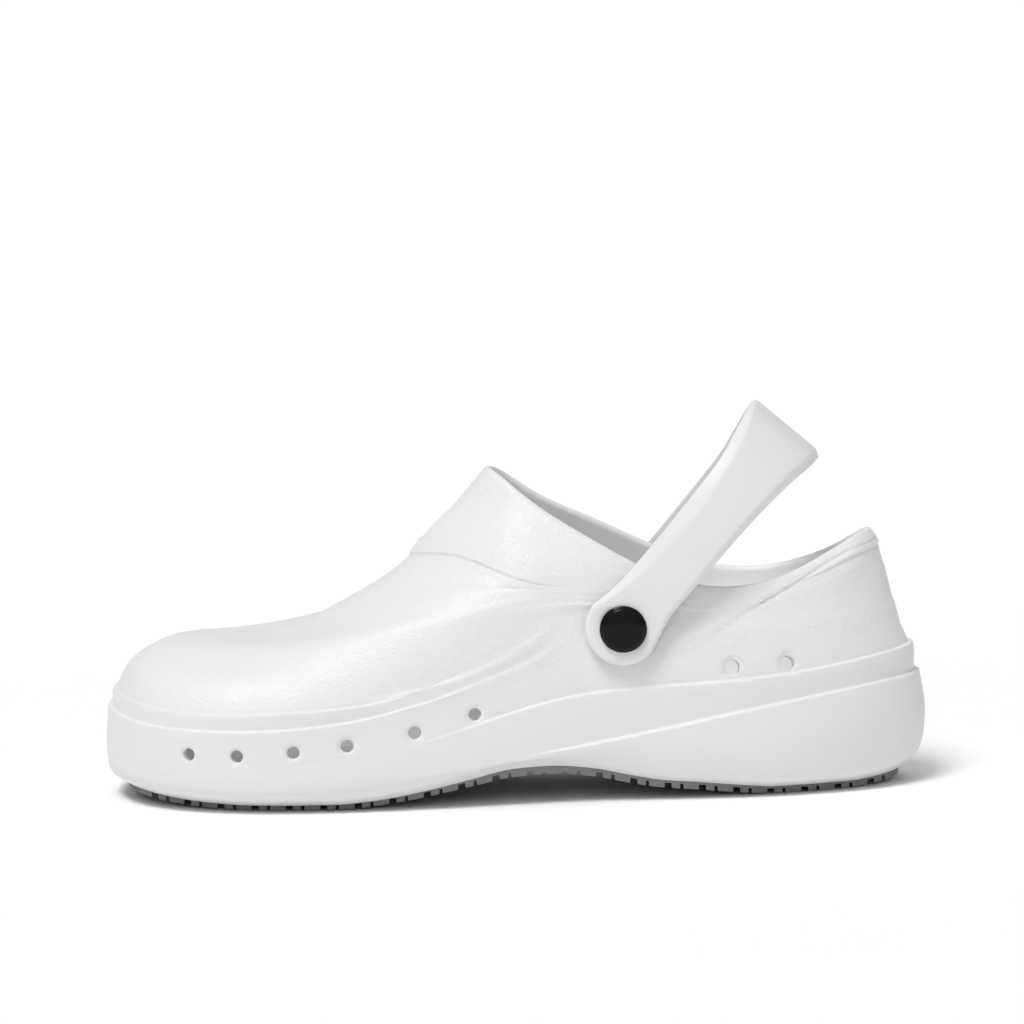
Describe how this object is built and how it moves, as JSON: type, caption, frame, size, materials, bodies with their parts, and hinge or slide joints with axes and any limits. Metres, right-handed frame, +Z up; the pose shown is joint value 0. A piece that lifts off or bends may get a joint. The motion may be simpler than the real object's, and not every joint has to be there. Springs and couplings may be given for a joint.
{
  "type": "clog",
  "caption": "Slip-on work clog with a closed toe, side vent holes, a swivelling heel strap on two round rivets and a lugged non-slip sole.",
  "frame": {"origin": "on the floor, under the middle of the clog's length and width", "axes": "+X towards the toe, +Y towards the outer side of the foot, +Z up"},
  "size_m": [0.2898, 0.1104, 0.1353],
  "materials": {
    "foam": "white moulded foam, satin, with a fine pebble grain",
    "strap_foam": "white moulded foam, smooth satin",
    "rubber": "matte grey rubber",
    "footbed": "white foam footbed, matte",
    "rivet": "black, glossy"
  },
  "bodies": {
    "root": {"clog_body": "foam", "heel_strap": "strap_foam", "outsole": "rubber", "insole": "footbed", "rivet_outer": "rivet", "rivet_inner": "rivet", "washer_outer": "rivet", "washer_inner": "rivet"}
  },
  "joints": []
}
